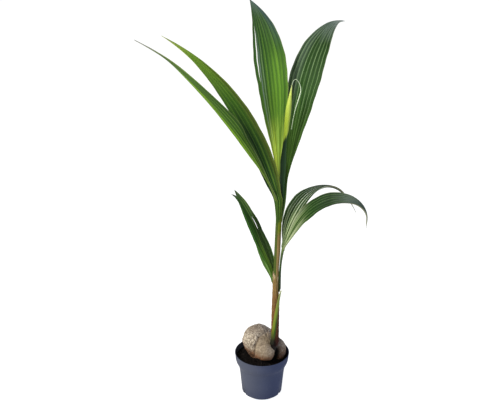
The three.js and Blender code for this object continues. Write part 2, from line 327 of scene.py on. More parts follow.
# Each lamp's place, target, size, power and colour
LAMPS = {
    "key": ((-2.5, -1.5, 2.5), (0, 0, 0.6), 1, 175, (1, 0.985, 0.95)),
    "fill": ((2.4, -1.2, 1.2), (0, 0, 0.5), 1.6, 30, (0.34, 0.5, 1)),
    "front": ((-0.4, -3.2, 1.7), (0, 0, 0.6), 2, 20, (1, 1, 0.98)),
}


def camera():
    data = bpy.data.cameras.new("camera")
    data.lens = CAMERA_LENS
    data.sensor_width = SENSOR_WIDTH
    obj = linked("camera", data)
    obj.location = CAMERA_PLACE
    obj.rotation_euler = (math.radians(CAMERA_TILT), 0, 0)
    bpy.context.scene.camera = obj


def lamp(name, place, target, size, power, colour):
    data = bpy.data.lights.new(name, "AREA")
    data.size = size
    data.energy = power
    data.color = colour
    obj = linked(name, data)
    obj.location = place
    obj.rotation_euler = (Vector(target) - Vector(place)).to_track_quat("-Z", "Y").to_euler()


def floor_material():
    sheet = Sheet("floor", 0.9, 0.2)
    sheet.colour = sheet.mix(sheet.noise(sheet.place(), 0.4), (136, 136, 136), (140, 140, 140))
    sheet.inputs["Emission Color"].default_value = (1, 1, 1, 1)
    sheet.inputs["Emission Strength"].default_value = FLOOR_GLOW
    return sheet.finish()


def studio():
    mesh = bpy.data.meshes.new("floor")
    corners = [(x * FLOOR_HALF, y * FLOOR_HALF, 0) for x, y in ((-1, -1), (1, -1), (1, 1), (-1, 1))]
    mesh.from_pydata(corners, [], [(0, 1, 2, 3)])
    mesh.materials.append(floor_material())
    floor = linked("floor", mesh)
    floor.location.z = FLOOR_LEVEL
    world = bpy.data.worlds.new("studio")
    bpy.context.scene.world = world
    world.use_nodes = True
    sky = world.node_tree.nodes["Background"]
    sky.inputs["Color"].default_value = SKY_COLOUR
    sky.inputs["Strength"].default_value = SKY_STRENGTH
    for name, settings in LAMPS.items():
        lamp(name, *settings)
    bpy.context.scene.view_settings.view_transform = "Standard"


# Pot

POT_HEIGHT = 145
RIM_RADIUS = 85
LIP_DEPTH = 3
LIP_REACH = 0.8
BAND_RADIUS = 82.5
BAND_LEVEL = 117
NECK_RADIUS = 70.8
NECK_LEVEL = 96
FOOT_RADIUS = 63
FOOT_LEVEL = 7
SOLE_RADIUS = 53.5
POT_WALL = 2
POT_FLOOR = 3
POT_SIDES = 168
CORNER_STEPS = 7
CORNER_SHARE = 0.45
NOTCH_COUNT = 3
NOTCH_WIDTH = 13
NOTCH_HEIGHT = 12
NOTCH_RADII = (42, 68)


def rounded(corners):
    """A profile whose corners (radius, level, rounding) are turned into short curves."""
    points = [np.array(corners[0][:2])]
    for before, here, after in zip(corners, corners[1:], corners[2:]):
        spot = np.array(here[:2])
        ends = []
        for other in (before, after):
            way = np.array(other[:2]) - spot
            length = np.linalg.norm(way)
            ends.append(spot + way / length * min(here[2], CORNER_SHARE * length))
        for share in np.linspace(0, 1, CORNER_STEPS):
            points.append(lerp(lerp(ends[0], spot, share), lerp(spot, ends[1], share), share))
    return [*points, np.array(corners[-1][:2])]


def turned(profile, sides):
    """A body turned about the Z axis from a profile that starts and ends on the axis."""
    angles = np.arange(sides) * TURN / sides
    circle = np.stack([np.cos(angles), np.sin(angles), np.ones(sides)], -1)
    rings = [circle * (radius, radius, level) for radius, level in profile[1:-1]]
    verts = np.concatenate([*rings, [[0, 0, profile[0][1]], [0, 0, profile[-1][1]]]])
    faces = ring_faces(len(rings), sides).tolist()
    bottom = len(verts) - 2
    last = bottom - sides
    for k in range(sides):
        beside = (k + 1) % sides
        faces.append([beside, k, bottom])
        faces.append([last + k, last + beside, bottom + 1])
    return verts, faces, {}


def pot_material():
    sheet = Sheet("pot_plastic", 0.55, 0.05)
    place = sheet.place()
    cloud = sheet.noise(place, 16, 4)
    dust = sheet.noise(sheet.scaled(place, (60, 60, 22)), 4, 5, 0.65)
    # Painted light and shade: lighter grey on the left, where the key lamp falls, and darker, bluer painted
    # shade on the right
    left = sheet.mix(cloud, (63, 67, 79), (73, 76, 88))
    right = sheet.mix(cloud, (45, 52, 74), (52, 59, 82))
    sheet.colour = sheet.mix((sheet.axis(place, "X"), -0.075, 0.06), left, right)
    sheet.paint((84, 88, 102), (dust, 0.56, 0.78), 0.35)
    sheet.paint((30, 36, 60), (sheet.axis(place, "Z"), 0.06, 0), 0.35)
    return sheet.finish((dust, 0.3, 0.75, 0.5, 0.7), sheet.noise(place, 900, 2), 0.00012, 0.5)


def cut_notches(pot):
    boxes = bmesh.new()
    for k in range(NOTCH_COUNT):
        out, side = facing(math.pi / 2 + TURN * k / NOTCH_COUNT)
        for vert in bmesh.ops.create_cube(boxes, size=1)["verts"]:
            spot = out * lerp(*NOTCH_RADII, vert.co.x + 0.5) + side * (vert.co.y * NOTCH_WIDTH)
            vert.co = Vector((spot[0], spot[1], vert.co.z * 2 * NOTCH_HEIGHT)) * MM
    mesh = bpy.data.meshes.new("notches")
    boxes.to_mesh(mesh)
    boxes.free()
    tool = linked("notches", mesh)
    cut = pot.modifiers.new("notches", "BOOLEAN")
    cut.operation = "DIFFERENCE"
    cut.object = tool
    cut.solver = "EXACT"
    bpy.context.view_layer.update()
    shape = bpy.data.meshes.new_from_object(pot.evaluated_get(bpy.context.evaluated_depsgraph_get()))
    pot.modifiers.remove(cut)
    pot.data = shape
    bpy.data.objects.remove(tool)


def make_pot():
    wall = POT_WALL
    lip_foot = POT_HEIGHT - LIP_DEPTH
    profile = rounded([
        (0, 0, 0),
        (SOLE_RADIUS, 0, 1),
        (SOLE_RADIUS + 1, FOOT_LEVEL - 1.5, 0.8),
        (FOOT_RADIUS - 1.5, FOOT_LEVEL, 0.8),
        (FOOT_RADIUS, FOOT_LEVEL + 2, 1),
        (NECK_RADIUS, NECK_LEVEL, 28),
        (BAND_RADIUS, BAND_LEVEL, 12),
        (RIM_RADIUS - LIP_REACH, lip_foot, 0.4),
        (RIM_RADIUS, lip_foot, 0.4),
        (RIM_RADIUS, POT_HEIGHT, 0.9),
        (RIM_RADIUS - wall, POT_HEIGHT, 0.9),
        (BAND_RADIUS - wall, BAND_LEVEL, 6),
        (NECK_RADIUS - wall, NECK_LEVEL, 6),
        (FOOT_RADIUS - wall, FOOT_LEVEL + 3.5, 1),
        (SOLE_RADIUS - wall, FOOT_LEVEL + 2, 1),
        (SOLE_RADIUS - wall - 1, POT_FLOOR, 1),
        (0, POT_FLOOR, 0),
    ])
    cut_notches(piece("pot_shell", turned(profile, POT_SIDES), pot_material(), ["pot"], sharp=35))


# Nut

NUT_CENTRE = np.array([0, 0, 165])
# The centre and radius of each rounded lobe: on the left, in front, on the right and at the back
NUT_LOBES = [((-9.8, 3, 184.5), 50.6), ((7, -27, 169), 39.5), ((34, 6, 146.2), 41.5), ((3, 14, 161), 54)]
NUT_BLEND = 20
NUT_DETAIL = 7
GROOVE_LINE = np.array([(13, -14, 224), (0, -25, 224), (-11, -34, 218), (-15, -40, 210), (-20, -43, 203),
                        (-23, -46, 195), (-24, -49, 185), (-25, -50, 173), (-25, -47, 158)])
GROOVE_DEPTH = 4.5
GROOVE_WIDTH = 3.6
GROOVE_WANDER = 2.4
SEAM_LINE = np.array([(14, -20, 224), (17, -30, 220), (22, -40, 213), (27, -47, 205)])
SEAM_WIDTH = 3
SEAM_WANDER = 1.2
CLEFT_LINE = np.array([(38, -28, 193), (41, -34, 187), (46, -32, 174), (47, -32, 161), (45, -34, 150),
                       (41, -34, 137), (39, -30, 125)])
CLEFT_DEPTH = 26
CLEFT_WIDTHS = (4.5, 12)
CRACK_DEPTH = 2
CRACK_GRAINS = ((0, 0.13), (70, 0.24))
CRACK_STRETCH = np.array([1, 1, 0.28])
DENT_DEPTH = 2.2
ROUGH_DEPTH = 0.8
HEM_LEVEL = 154
HEM_SLOPE = -0.25
HEM_TUCK = 0.5


def nut_reaches(ways):
    """How far each lobe of the husk stands from the nut's middle in each direction."""
    reaches = []
    for centre, radius in NUT_LOBES:
        offset = centre - NUT_CENTRE
        ahead = ways @ offset
        reaches.append(ahead + np.sqrt(radius ** 2 - offset @ offset + ahead ** 2))
    return reaches


def nut_reach(ways):
    return sum(each ** NUT_BLEND for each in nut_reaches(ways)) ** (1 / NUT_BLEND)


def beside_line(points, line):
    """How far each point is from a line of short straights, and how far along it."""
    best = np.full(len(points), np.inf)
    place = np.zeros(len(points))
    for k, way in enumerate(np.diff(line, axis=0)):
        share = np.clip((points - line[k]) @ way / (way @ way), 0, 1)
        far = np.linalg.norm(points - line[k] - share[:, None] * way, axis=1)
        place = np.where(far < best, (k + share) / (len(line) - 1), place)
        best = np.minimum(far, best)
    return best, place


def husk_material():
    sheet = Sheet("husk_fibre", 0.92, 0.1)
    place = sheet.place()
    width, height = sheet.axis(place, "X"), sheet.axis(place, "Z")
    cleft, crack = sheet.map("marks")
    front, right = sheet.map("lobes")
    warp = {0: sheet.noise(place, 40), 1: (0.012, 0.012, 0.012), 2: place}
    bent = sheet.node("VectorMath", warp, operation="MULTIPLY_ADD")
    broad = sheet.noise(place, 30, 5, 0.65)
    strand = sheet.noise(sheet.scaled(bent, (1, 1, 0.3)), 300, 4, 0.65)
    mottle = sheet.noise(bent, 170, 3, 0.6)
    cells = {"Vector": sheet.scaled(bent, (1, 1, 0.5)), "Scale": 120}
    net = sheet.node("TexVoronoi", cells, feature="DISTANCE_TO_EDGE")
    ashen = [(0.32, (136, 124, 106)), (0.5, (170, 157, 138)), (0.68, (198, 187, 168))]
    sheet.colour = sheet.ramp(broad, ashen)
    sheet.paint((126, 116, 110), (sheet.add(height, broad, 0.05), 0.232, 0.262), 0.5)
    # The tan lobe in front, and painted shade in brown low on its right
    tan = sheet.ramp(mottle, [(0.34, (88, 74, 58)), (0.5, (116, 101, 81)), (0.66, (136, 121, 100))])
    sheet.paint(tan, front, 0.85)
    # Painted shade, brown and mottled, on the lower right of the lobe in front
    below = (sheet.add(height, mottle, 0.05), 0.215, 0.19)
    sheet.paint((82, 62, 46), (sheet.add(width, mottle, 0.03), 0.03, 0.055), below, 0.7)
    # The grey lobe on the right, with painted shade on its inner side by the cleft, paler towards its outer
    # edge, and darker in mottled patches towards its foot
    shaded_grey = sheet.mix((width, 0.05, 0.072), (64, 53, 46), (148, 136, 119))
    darker_foot = sheet.times((mottle, 0.56, 0.42), (height, 0.178, 0.158))
    sheet.paint(sheet.mix(darker_foot, shaded_grey, (62, 44, 33)), right, 0.9)
    # The brown foot of the nut, higher on its left
    sheet.paint((106, 85, 61), (sheet.add(height, broad, 0.04), 0.205, 0.165), 0.6)
    hem = sheet.add(height, width, 0.25)
    sheet.paint((98, 60, 33), (sheet.add(hem, strand, 0.04), 0.2, 0.172), 0.9)
    # Fibres and fine seams, fainter on the lobe in front, then cracks, and painted shade, nearly black, in
    # the cleft
    rougher = sheet.step(front, 1, 0, 0.35, 1)
    sheet.paint((80, 64, 52), (strand, 0.44, 0.3, 0, 0.75), rougher)
    sheet.paint((92, 76, 63), (sheet.add(net, broad, 0.12), 0.16, 0.06, 0, 0.75), rougher)
    sheet.paint((188, 179, 164), (strand, 0.56, 0.72, 0, 0.6), rougher)
    sheet.paint((62, 48, 36), crack, 0.9)
    # Painted shade in the cleft
    sheet.paint((9, 6, 5), (cleft, 0.08, 0.4))
    relief = sheet.add(sheet.times(sheet.noise(place, 640, 4, 0.7), 0.3), strand, 0.7)
    return sheet.finish((strand, 0.2, 0.8, 0.8, 0.98), relief, 0.0022, 0.9)


def husk_lines(skin, rough):
    """How much of the groove and seam, and of the cleft beside the sprout, is at each point."""
    far, share = beside_line(skin, GROOVE_LINE)
    width = GROOVE_WIDTH * (1.1 + 0.5 * rough)
    groove = hill(far + GROOVE_WANDER * rough, 0, width) * smooth(-0.35, 0.25, share)
    far, _ = beside_line(skin, SEAM_LINE)
    seam = 0.9 * hill(far + SEAM_WANDER * rough, 0, SEAM_WIDTH)
    far, share = beside_line(skin, CLEFT_LINE)
    return np.maximum(groove, seam), hill(far, 0, lerp(*CLEFT_WIDTHS, smooth(0, 0.45, share)))


def husk_sides(skin, ways):
    """How much each point belongs to the lobe in front and to the one on the right."""
    on_left, in_front, on_right, _ = nut_reaches(ways)
    right = smooth(-4, 4, on_right - np.maximum(on_left, in_front))
    front = smooth(-4, 3, in_front - np.maximum(on_left, on_right))
    x, y, z = skin.T
    inside = smooth(-2, 2, x - np.interp(z, GROOVE_LINE[::-1, 2], GROOVE_LINE[::-1, 0]))
    inside *= smooth(227, 220, z) * smooth(-5, -15, y)
    return np.maximum(front, inside) * (1 - right), right


def husk_cracks(skin):
    """Cracks that run mostly upwards, wide ones in some patches and thin ones in the others."""
    wide, thin = (np.clip(1.2 - np.abs(rough_noise(skin * CRACK_STRETCH + shift, scale)) / 0.2, 0, 1)
                  for shift, scale in CRACK_GRAINS)
    patches = rough_noise(skin, 0.03, 1)
    return np.maximum(0.9 * wide * smooth(-0.2, 0.2, patches), 0.8 * thin * smooth(0.4, 0, patches))


def make_nut():
    ways, faces = ball(NUT_DETAIL)
    ways /= np.linalg.norm(ways, axis=1)[:, None]
    skin = NUT_CENTRE + ways * nut_reach(ways)[:, None]
    rough = rough_noise(skin, 0.09, 2)
    groove, cleft = husk_lines(skin, rough)
    front, right = husk_sides(skin, ways)
    crack = husk_cracks(skin) * smooth(0.9, 0.2, front) * smooth(1, 0.4, right)
    dents = DENT_DEPTH * rough_noise(skin, 0.035) + ROUGH_DEPTH * rough * (1 - 0.4 * front)
    below_hem = np.clip(HEM_LEVEL + HEM_SLOPE * skin[:, 0] - skin[:, 2], 0, 30)
    tuck = HEM_TUCK * below_hem * smooth(-12, -30, skin[:, 1]) * (1 - right)
    depth = GROOVE_DEPTH * groove + CLEFT_DEPTH * cleft + CRACK_DEPTH * crack + tuck - dents
    corners = np.array(faces).reshape(-1)
    marks = np.stack([cleft, np.clip(np.maximum(groove ** 2, crack), 0, 1)], -1)[corners]
    maps = {"marks": marks, "lobes": np.stack([front, right], -1)[corners]}
    piece("husk", (skin - ways * depth[:, None], faces, maps), husk_material(), ["nut"], sharp=180)


# Soil

SOIL_LEVEL = 127
SOIL_MOUND = 3
SOIL_SHOULDER = (60, 80)
SOIL_BOTTOM = NOTCH_HEIGHT + 2
SOIL_ROWS = 70
SOIL_SIDES = 120
GAP = 0.3
CRUMBS = 620
CRUMB_REACH = 79
CRUMB_SIZES = (0.7, 2.6)
CRUMB_DETAIL = 2


def soil_material(name, light):
    sheet = Sheet(name, 0.95, 0.08)
    place = sheet.place()
    clod = sheet.noise(place, 120, 5, 0.7)
    lightest = (30 + light, 23 + light, 19 + light)
    sheet.colour = sheet.ramp(clod, [(0.32, (5, 4, 4)), (0.55, (16, 12, 10)), (0.75, lightest)])
    fleck = sheet.node("TexVoronoi", {"Vector": place, "Scale": 420})
    sheet.paint((70, 52, 46), (fleck, 0.18, 0.06, 0, 0.45))
    return sheet.finish((clod, 0.3, 0.7, 0.75, 1), clod, 0.003, 0.8)


def soil_height(x, y):
    base = SOIL_LEVEL + SOIL_MOUND * (1 - smooth(*SOIL_SHOULDER, np.hypot(x, y)))
    points = np.stack([x, y, np.zeros_like(x)], -1)
    return base + 1.5 * rough_noise(points, 0.07) + 0.9 * rough_noise(points + 9, 0.3, 2)


def inside_wall(radius):
    return radius - POT_WALL - GAP


def soil_edge():
    share = (SOIL_LEVEL - BAND_LEVEL) / (POT_HEIGHT - LIP_DEPTH - BAND_LEVEL)
    return inside_wall(lerp(BAND_RADIUS, RIM_RADIUS - LIP_REACH, share))


def make_soil():
    edge = soil_edge()
    profile = [(0, SOIL_BOTTOM), (inside_wall(FOOT_RADIUS), SOIL_BOTTOM),
               (inside_wall(NECK_RADIUS), NECK_LEVEL + GAP), (inside_wall(BAND_RADIUS), BAND_LEVEL + GAP)]
    profile += [(radius, SOIL_LEVEL) for radius in (edge, *np.linspace(edge - 1, 1, SOIL_ROWS), 0)]
    verts, faces, maps = turned(profile, SOIL_SIDES)
    top = verts[:, 2] > SOIL_LEVEL - 0.5
    verts[top, 2] = soil_height(verts[top, 0], verts[top, 1])
    piece("compost", (verts, faces, maps), soil_material("compost", 0), ["soil"], sharp=180)


def make_crumbs():
    grain, loops = ball(CRUMB_DETAIL)
    crumbs = []
    while len(crumbs) < CRUMBS:
        out, _ = facing(rng.uniform(0, TURN))
        radius = CRUMB_REACH * math.sqrt(rng.uniform(0, 1))
        size = rng.uniform(*CRUMB_SIZES) * rng.uniform(0.6, 1)
        stretch = rng.uniform(0.6, 1.4, 3) * size
        ripple = 1 + 0.25 * rng.standard_normal(len(grain))
        spot = radius * out
        way = spot + [0, 0, SOIL_LEVEL] - NUT_CENTRE
        far = np.linalg.norm(way)
        if far < nut_reach(way / far) + 1 or radius + 1.5 * size > soil_edge():
            continue
        spot[2] = soil_height(spot[:1], spot[1:2])[0] + 0.25 * size
        crumbs.append((grain * stretch * ripple[:, None] + spot, loops, {}))
    piece("compost_crumbs", joined(crumbs), soil_material("compost_crumb", 30), sharp=180)


# Stem

STEM_FOOT = np.array([36.5, -46, 197])
STEM_TOP = np.array([48, -6, 666.7])
STEM_BOW = -2.2
STEM_BOTTOM = 183
STEM_BEND_LEVEL = 219
STEM_BEND = (-4, 7)
STEM_FLARE = 9.5
STEM_RADII = (7.4, 6.9)
STEM_WAIST = 600
STEM_ROWS = 150
STEM_SIDES = 96
STEM_FULLNESS = 1.16
CROWN_HALF_SIZES = (15, 12)
CORE_SHARE = 0.25
ROOTED = 7


def below_bend(level):
    return max(0, (STEM_BEND_LEVEL - level) / (STEM_BEND_LEVEL - STEM_BOTTOM))


def stem_centre(level):
    share = (level - STEM_FOOT[2]) / (STEM_TOP[2] - STEM_FOOT[2])
    bend = below_bend(level) ** 2
    shift = [STEM_BEND[0] * bend + STEM_BOW * math.sin(math.pi * share), STEM_BEND[1] * bend, 0]
    return lerp(STEM_FOOT, STEM_TOP, share) + shift


def stem_half_sizes(level):
    height = (level - STEM_BEND_LEVEL) / (STEM_WAIST - STEM_BEND_LEVEL)
    base = lerp(lerp(*STEM_RADII, min(max(height, 0), 1)), STEM_FLARE, below_bend(level))
    crown = max(0, (level - STEM_WAIST) / (STEM_TOP[2] - STEM_WAIST))
    return [lerp(base, size, crown) for size in CROWN_HALF_SIZES]


def stem_material():
    sheet, around, up, thin, wide = streaked("stem_skin", 0.55, 0.1, 40, 9)
    sheet.colour = sheet.mix(thin, (40, 54, 16), (72, 84, 28))
    tan = sheet.mix(thin, (98, 76, 40), (140, 120, 74))
    tan = sheet.mix((sheet.add(up, wide, 0.05), 0.79, 0.84), tan, (96, 106, 26))
    shift = sheet.add(around, wide, 0.05)
    sheet.paint(tan, (shift, 0.755, 0.775), (shift, 1.03, 0.99))
    sheet.paint(sheet.mix(thin, (30, 52, 20), (62, 88, 32)), (up, 0.88, 0.955))
    # Painted shade at the foot, where the stem goes down into the nut
    sheet.paint((14, 9, 7), (up, 0.095, 0.07))
    return sheet.finish((thin, 0.3, 0.7, 0.42, 0.62), thin, 0.0006, 0.6)


def make_stem():
    rings = []
    for level in np.linspace(STEM_BOTTOM - ROOTED, STEM_TOP[2], STEM_ROWS):
        sizes = stem_half_sizes(level)
        if level > STEM_WAIST:
            sizes = [lerp(STEM_RADII[1], size, CORE_SHARE) for size in sizes]
        rings.append(level_ring(stem_centre(level), *sizes))

    def profile(angles, share):
        wrap = (angles / TURN + 0.06 * share) % 1
        edge = 0.05 * smooth(0.71, 0.722, wrap) - 0.05 * wrap
        pleats = 0.07 * smooth(0.84, 0.97, share) * np.abs(np.sin(6.5 * angles))
        swell = smooth(0.55, 0.68, share) * smooth(0.92, 0.84, share)
        fuller = 0.3 * np.clip(np.cos(angles), 0, None) ** 2 * swell
        return STEM_FULLNESS + edge + fuller + 0.01 * np.sin(17 * angles + 9 * share) - pleats
    piece("stem_core", column(rings, STEM_SIDES, profile), stem_material(), ["stem"])


# Fibre sheath

SHEATH_BOTTOM = 194
SHEATH_TOP = 431
SHEATH_WALLS = (2.8, 1.5)
SHEATH_TORN_SLOPE = -0.9
SHEATH_TEAR = 48
SHEATH_SIDE = 3.6
SHEATH_SIDE_LEVELS = (415, 345)
SHEATH_ROWS = 130
SHEATH_SIDES = 120
TOOTH_SPREAD = 2.6
THREADS = 90
LOW_THREADS = (205, 240)
HIGH_THREADS = (250, 428)
THREAD_STEPS = 5
THREAD_RADII = (0.32, 0.12)
# Each flake's bearing, lower and upper level, how far it stands off and half its width
FLAKES = [(-152, 402, 437, 1.2, 2.3), (-118, 412, 434, 0.8, 1.7), (-60, 406, 428, 1.5, 1.6)]
FLAKE_STEPS = 8
FLAKE_TWIST = 6
FLAKE_HALF_DEPTH = 0.35


def sheath_radius(level):
    share = (level - SHEATH_BOTTOM) / (SHEATH_TOP - SHEATH_BOTTOM)
    return stem_half_sizes(level)[0] + lerp(*SHEATH_WALLS, share)


def sheath_side(level, turn):
    """How much further the sheath reaches on its right, where the old leaf's wrapping lies over it."""
    return SHEATH_SIDE * np.clip(np.cos(turn), 0, None) ** 1.5 * smooth(*SHEATH_SIDE_LEVELS, level)


def fibre_material(name, pale_top):
    sheet, around, up, thin, wide = streaked(name, 0.88, 0.08, 55, 7)
    rings = sheet.streaks((around, up), (3, 70))
    blotch = sheet.streaks((around, up), (6, 16), 7)
    fleck = sheet.streaks((around, up), (16, 60), 9, 2)
    # The darkest stops, at the foot where the sheath goes into the nut, are painted shade
    sheet.colour = sheet.ramp(up, [
        (0, (14, 8, 6)), (0.085, (20, 11, 8)), (0.14, (50, 27, 18)), (0.22, (84, 46, 28)),
        (0.35, (88, 53, 30)), (0.6, (97, 70, 40)), (0.8, (110, 86, 49)), (1, (114, 95, 55))])
    sheet.paint((116, 68, 36), (blotch, 0.46, 0.6, 0, 0.5), (up, 0.12, 0.3), (up, 0.9, 0.6))
    sheet.paint((50, 20, 16), (around, 0.8, 0.9), (up, 0.7, 0.4), 0.85)
    pale = sheet.math("MAXIMUM", sheet.step(thin, 0.52, 0.72, 0, 0.5), sheet.step(fleck, 0.58, 0.72, 0, 0.5))
    sheet.paint((168, 142, 92), pale, (up, 0.12, 0.3))
    sheet.paint((70, 42, 26), (thin, 0.45, 0.28, 0, 0.55))
    sheet.paint((84, 52, 32), (rings, 0.55, 0.7, 0, 0.3))
    sheet.paint((196, 182, 150), (up, 0.975, 1, 0, pale_top))
    relief = sheet.add(sheet.math("ADD", thin, fleck), rings, 0.4)
    return sheet.finish((wide, 0.3, 0.7, 0.78, 0.95), relief, 0.0012, 0.9)


def make_sheath():
    angles = np.arange(SHEATH_SIDES) * TURN / SHEATH_SIDES
    teeth = rng.normal(0, TOOTH_SPREAD, SHEATH_SIDES) + 2 * np.sin(5 * angles)
    outer, inner = [], []
    for share in np.linspace(0, 1, SHEATH_ROWS):
        level = lerp(SHEATH_BOTTOM - ROOTED, SHEATH_TOP, share)
        centre = stem_centre(level)
        radius = sheath_radius(max(level, SHEATH_BOTTOM)) * lerp(0.7, 1, smooth(-0.02, 0.1, share))
        fibres = 0.22 * np.sin(31 * angles + 6 * share) + 0.28 * np.sin(13 * angles - 4 * share)
        bands = 0.22 * math.sin(60 * share) + 0.15 * math.sin(143 * share)
        reach = radius + 0.2 + fibres + bands + sheath_side(level, angles) * smooth(0, 0.1, share)
        lift = (SHEATH_TORN_SLOPE * radius * np.cos(angles) + teeth) * share ** 10
        lift -= SHEATH_TEAR * smooth(0, 1, np.cos(angles)) * share ** 4
        for rows, spread in ((outer, reach), (inner, radius - 1)):
            rows.append(np.stack([centre[0] + spread * np.cos(angles), centre[1] + spread * np.sin(angles),
                                  level + lift], -1))
    verts = np.concatenate(outer + inner[::-1])
    count = 2 * SHEATH_ROWS
    faces = ring_faces(count + 1, SHEATH_SIDES) % len(verts)
    row, side = np.divmod(np.arange(len(verts)), SHEATH_SIDES)
    places = ring_map(faces, side / SHEATH_SIDES, np.minimum(row, count - 1 - row) / (SHEATH_ROWS - 1))
    skin = fibre_material("sheath_fibre", 0.4)
    piece("fibre_sheath", (verts, faces, {"along": places}), skin, ["sheath"])


def loose_thread(levels):
    """A thread that stands off the sheath somewhere between two levels."""
    level = rng.uniform(*levels)
    turn = rng.uniform(0, TURN)
    length = rng.uniform(8, 20)
    away = rng.uniform(0.2, 2.2)
    lean = rng.normal(0, 0.12)
    points = []
    for share in np.linspace(0, 1, THREAD_STEPS):
        height = level + length * share
        angle = turn + lean * share
        reach = sheath_radius(min(height, SHEATH_TOP)) + sheath_side(height, angle) - 0.5 + away * share ** 2
        points.append(stem_centre(height) + reach * facing(angle)[0])
    verts, faces, maps = tube(points, np.linspace(*THREAD_RADII, THREAD_STEPS), sides=5)
    return verts, faces, {"along": [(turn / TURN, lerp(0.2, 0.9, up)) for _, up in maps["along"]]}


def loose_flake(bearing, low, high, away, half):
    """A torn flake at the top of the sheath."""
    rings = []
    for share in np.linspace(0, 1, FLAKE_STEPS):
        height = lerp(low, high, share)
        out, side = facing(math.radians(bearing + FLAKE_TWIST * share))
        reach = sheath_radius(min(height, SHEATH_TOP)) + 0.4 + away * share ** 2
        centre = stem_centre(height) + out * reach
        rings.append((centre, side * half * (1 - 0.7 * share), out * FLAKE_HALF_DEPTH))
    verts, faces, maps = column(rings, sides=10)
    return verts, faces, {"along": [(bearing / 360 + 1, lerp(0.97, 1, up)) for _, up in maps["along"]]}


def make_loose_fibres():
    shapes = [loose_thread(HIGH_THREADS if k % 3 else LOW_THREADS) for k in range(THREADS)]
    shapes += [loose_flake(*flake) for flake in FLAKES]
    piece("loose_fibres", joined(shapes), fibre_material("loose_fibre", 0.9))


# Old stalk

STUMP_LEVELS = (204, 384)
STUMP_BEARINGS = (-126, -34)
STUMP_HALF_WIDTHS = (6.8, 4.2)
STUMP_HALF_DEPTH = 1.9
STUMP_FLARE = 7
STUMP_FLARE_POWER = 6
STUMP_ROWS = 70
STUMP_SIDES = 48


def stump_material():
    sheet, around, up, thin, wide = streaked("old_stalk_skin", 0.55, 0.1, 26, 6)
    # The darkest stops, at the foot, are painted shade
    sheet.colour = sheet.ramp(up, [
        (0, (12, 8, 6)), (0.085, (20, 14, 9)), (0.14, (48, 50, 16)), (0.22, (70, 80, 20)),
        (0.34, (94, 106, 27)), (0.6, (108, 120, 38)), (0.86, (112, 122, 56)), (0.96, (150, 156, 104)),
        (1, (196, 198, 160))])
    sheet.paint((62, 82, 30), (thin, 0.48, 0.3, 0, 0.6))
    right = sheet.times((around, 0.02, 0.07), (around, 0.45, 0.32))
    sheet.paint((30, 58, 18), right, (up, 0.75, 0.35), (up, 0.1, 0.2), 0.85)
    return sheet.finish((wide, 0.3, 0.7, 0.42, 0.6), thin, 0.0007, 0.6)


def make_old_stalk():
    rings = []
    for share in np.linspace(0, 1, STUMP_ROWS):
        level = lerp(*STUMP_LEVELS, share)
        turn = math.radians(lerp(*STUMP_BEARINGS, share))
        out, side = facing(turn)
        flare = STUMP_FLARE * share ** STUMP_FLARE_POWER
        reach = sheath_radius(level) + sheath_side(level, turn) + GAP + STUMP_HALF_DEPTH + flare
        half = lerp(*STUMP_HALF_WIDTHS, share)
        rings.append((stem_centre(level) + out * reach, out * STUMP_HALF_DEPTH, side * half))

    def profile(angles, share):
        torn = 0.16 * np.sin(3 * angles + 1) * smooth(0.93, 1, share)
        return 1 - 0.16 * hill(angles, math.pi, 0.5) + 0.03 * np.sin(9 * angles + 5 * share) + torn
    verts, faces, maps = column(rings, STUMP_SIDES, profile)
    turns = np.arange(STUMP_SIDES) * TURN / STUMP_SIDES
    verts[-STUMP_SIDES:, 2] += 2.5 * np.sin(2 * turns) + rng.normal(0, 0.6, STUMP_SIDES)
    piece("old_stalk_stump", (verts, faces, maps), stump_material(), ["old_stalk"])


# Leaf stalks

# Each stalk's foot on the stem, its head, its radii and how late it bows outwards
STALKS = {
    "stalk_right": dict(bottom=374, bearing=8, head=(61.5, -25, 522.7), radii=(4.2, 4.7), bow=3),
    "stalk_left": dict(bottom=384, bearing=122, head=(30, -15, 401.7), radii=(1.8, 3.6), bow=1.6),
}
STALK_SWELL = 3
STALK_WAIST = 0.25
STALK_TUCK = 1.5
STALK_ROWS = 40
STALK_SIDES = 40


def stalk_material():
    sheet, _, up, thin, wide = streaked("stalk_skin", 0.5, 0.1, 22, 5)
    sheet.colour = sheet.ramp(up, [(0, (40, 30, 18)), (0.05, (24, 40, 16)), (0.5, (36, 56, 24)),
                                   (0.85, (58, 72, 40)), (1, (84, 102, 48))])
    sheet.paint((84, 100, 52), (thin, 0.5, 0.72, 0, 0.4))
    return sheet.finish((wide, 0.3, 0.7, 0.38, 0.56), thin, 0.0005, 0.5)


def make_stalk(name, material, bottom, bearing, head, radii, bow):
    turn = math.radians(bearing)
    foot = stem_centre(bottom) + (stem_half_sizes(bottom)[0] + 3 * GAP + radii[0]) * facing(turn)[0]
    rings = []
    for share in np.linspace(0, 1, STALK_ROWS):
        centre = lerp(foot, np.array(head), share ** bow)
        centre[0] -= STALK_TUCK * smooth(0.1, 0, share)
        centre[2] = lerp(bottom, head[2], share)
        radius = lerp(*radii, share ** STALK_SWELL) * lerp(0.45, 1, smooth(-0.02, 0.09, share))
        radius *= 1 - STALK_WAIST * hill(share, 0.6, 0.28)
        rings.append(level_ring(centre, radius, radius))

    def profile(angles, share):
        return 1 - 0.18 * hill(angles, turn, 0.5) + 0.02 * np.sin(7 * angles)
    piece(name + "_skin", column(rings, STALK_SIDES, profile), material, [name])


# Spear

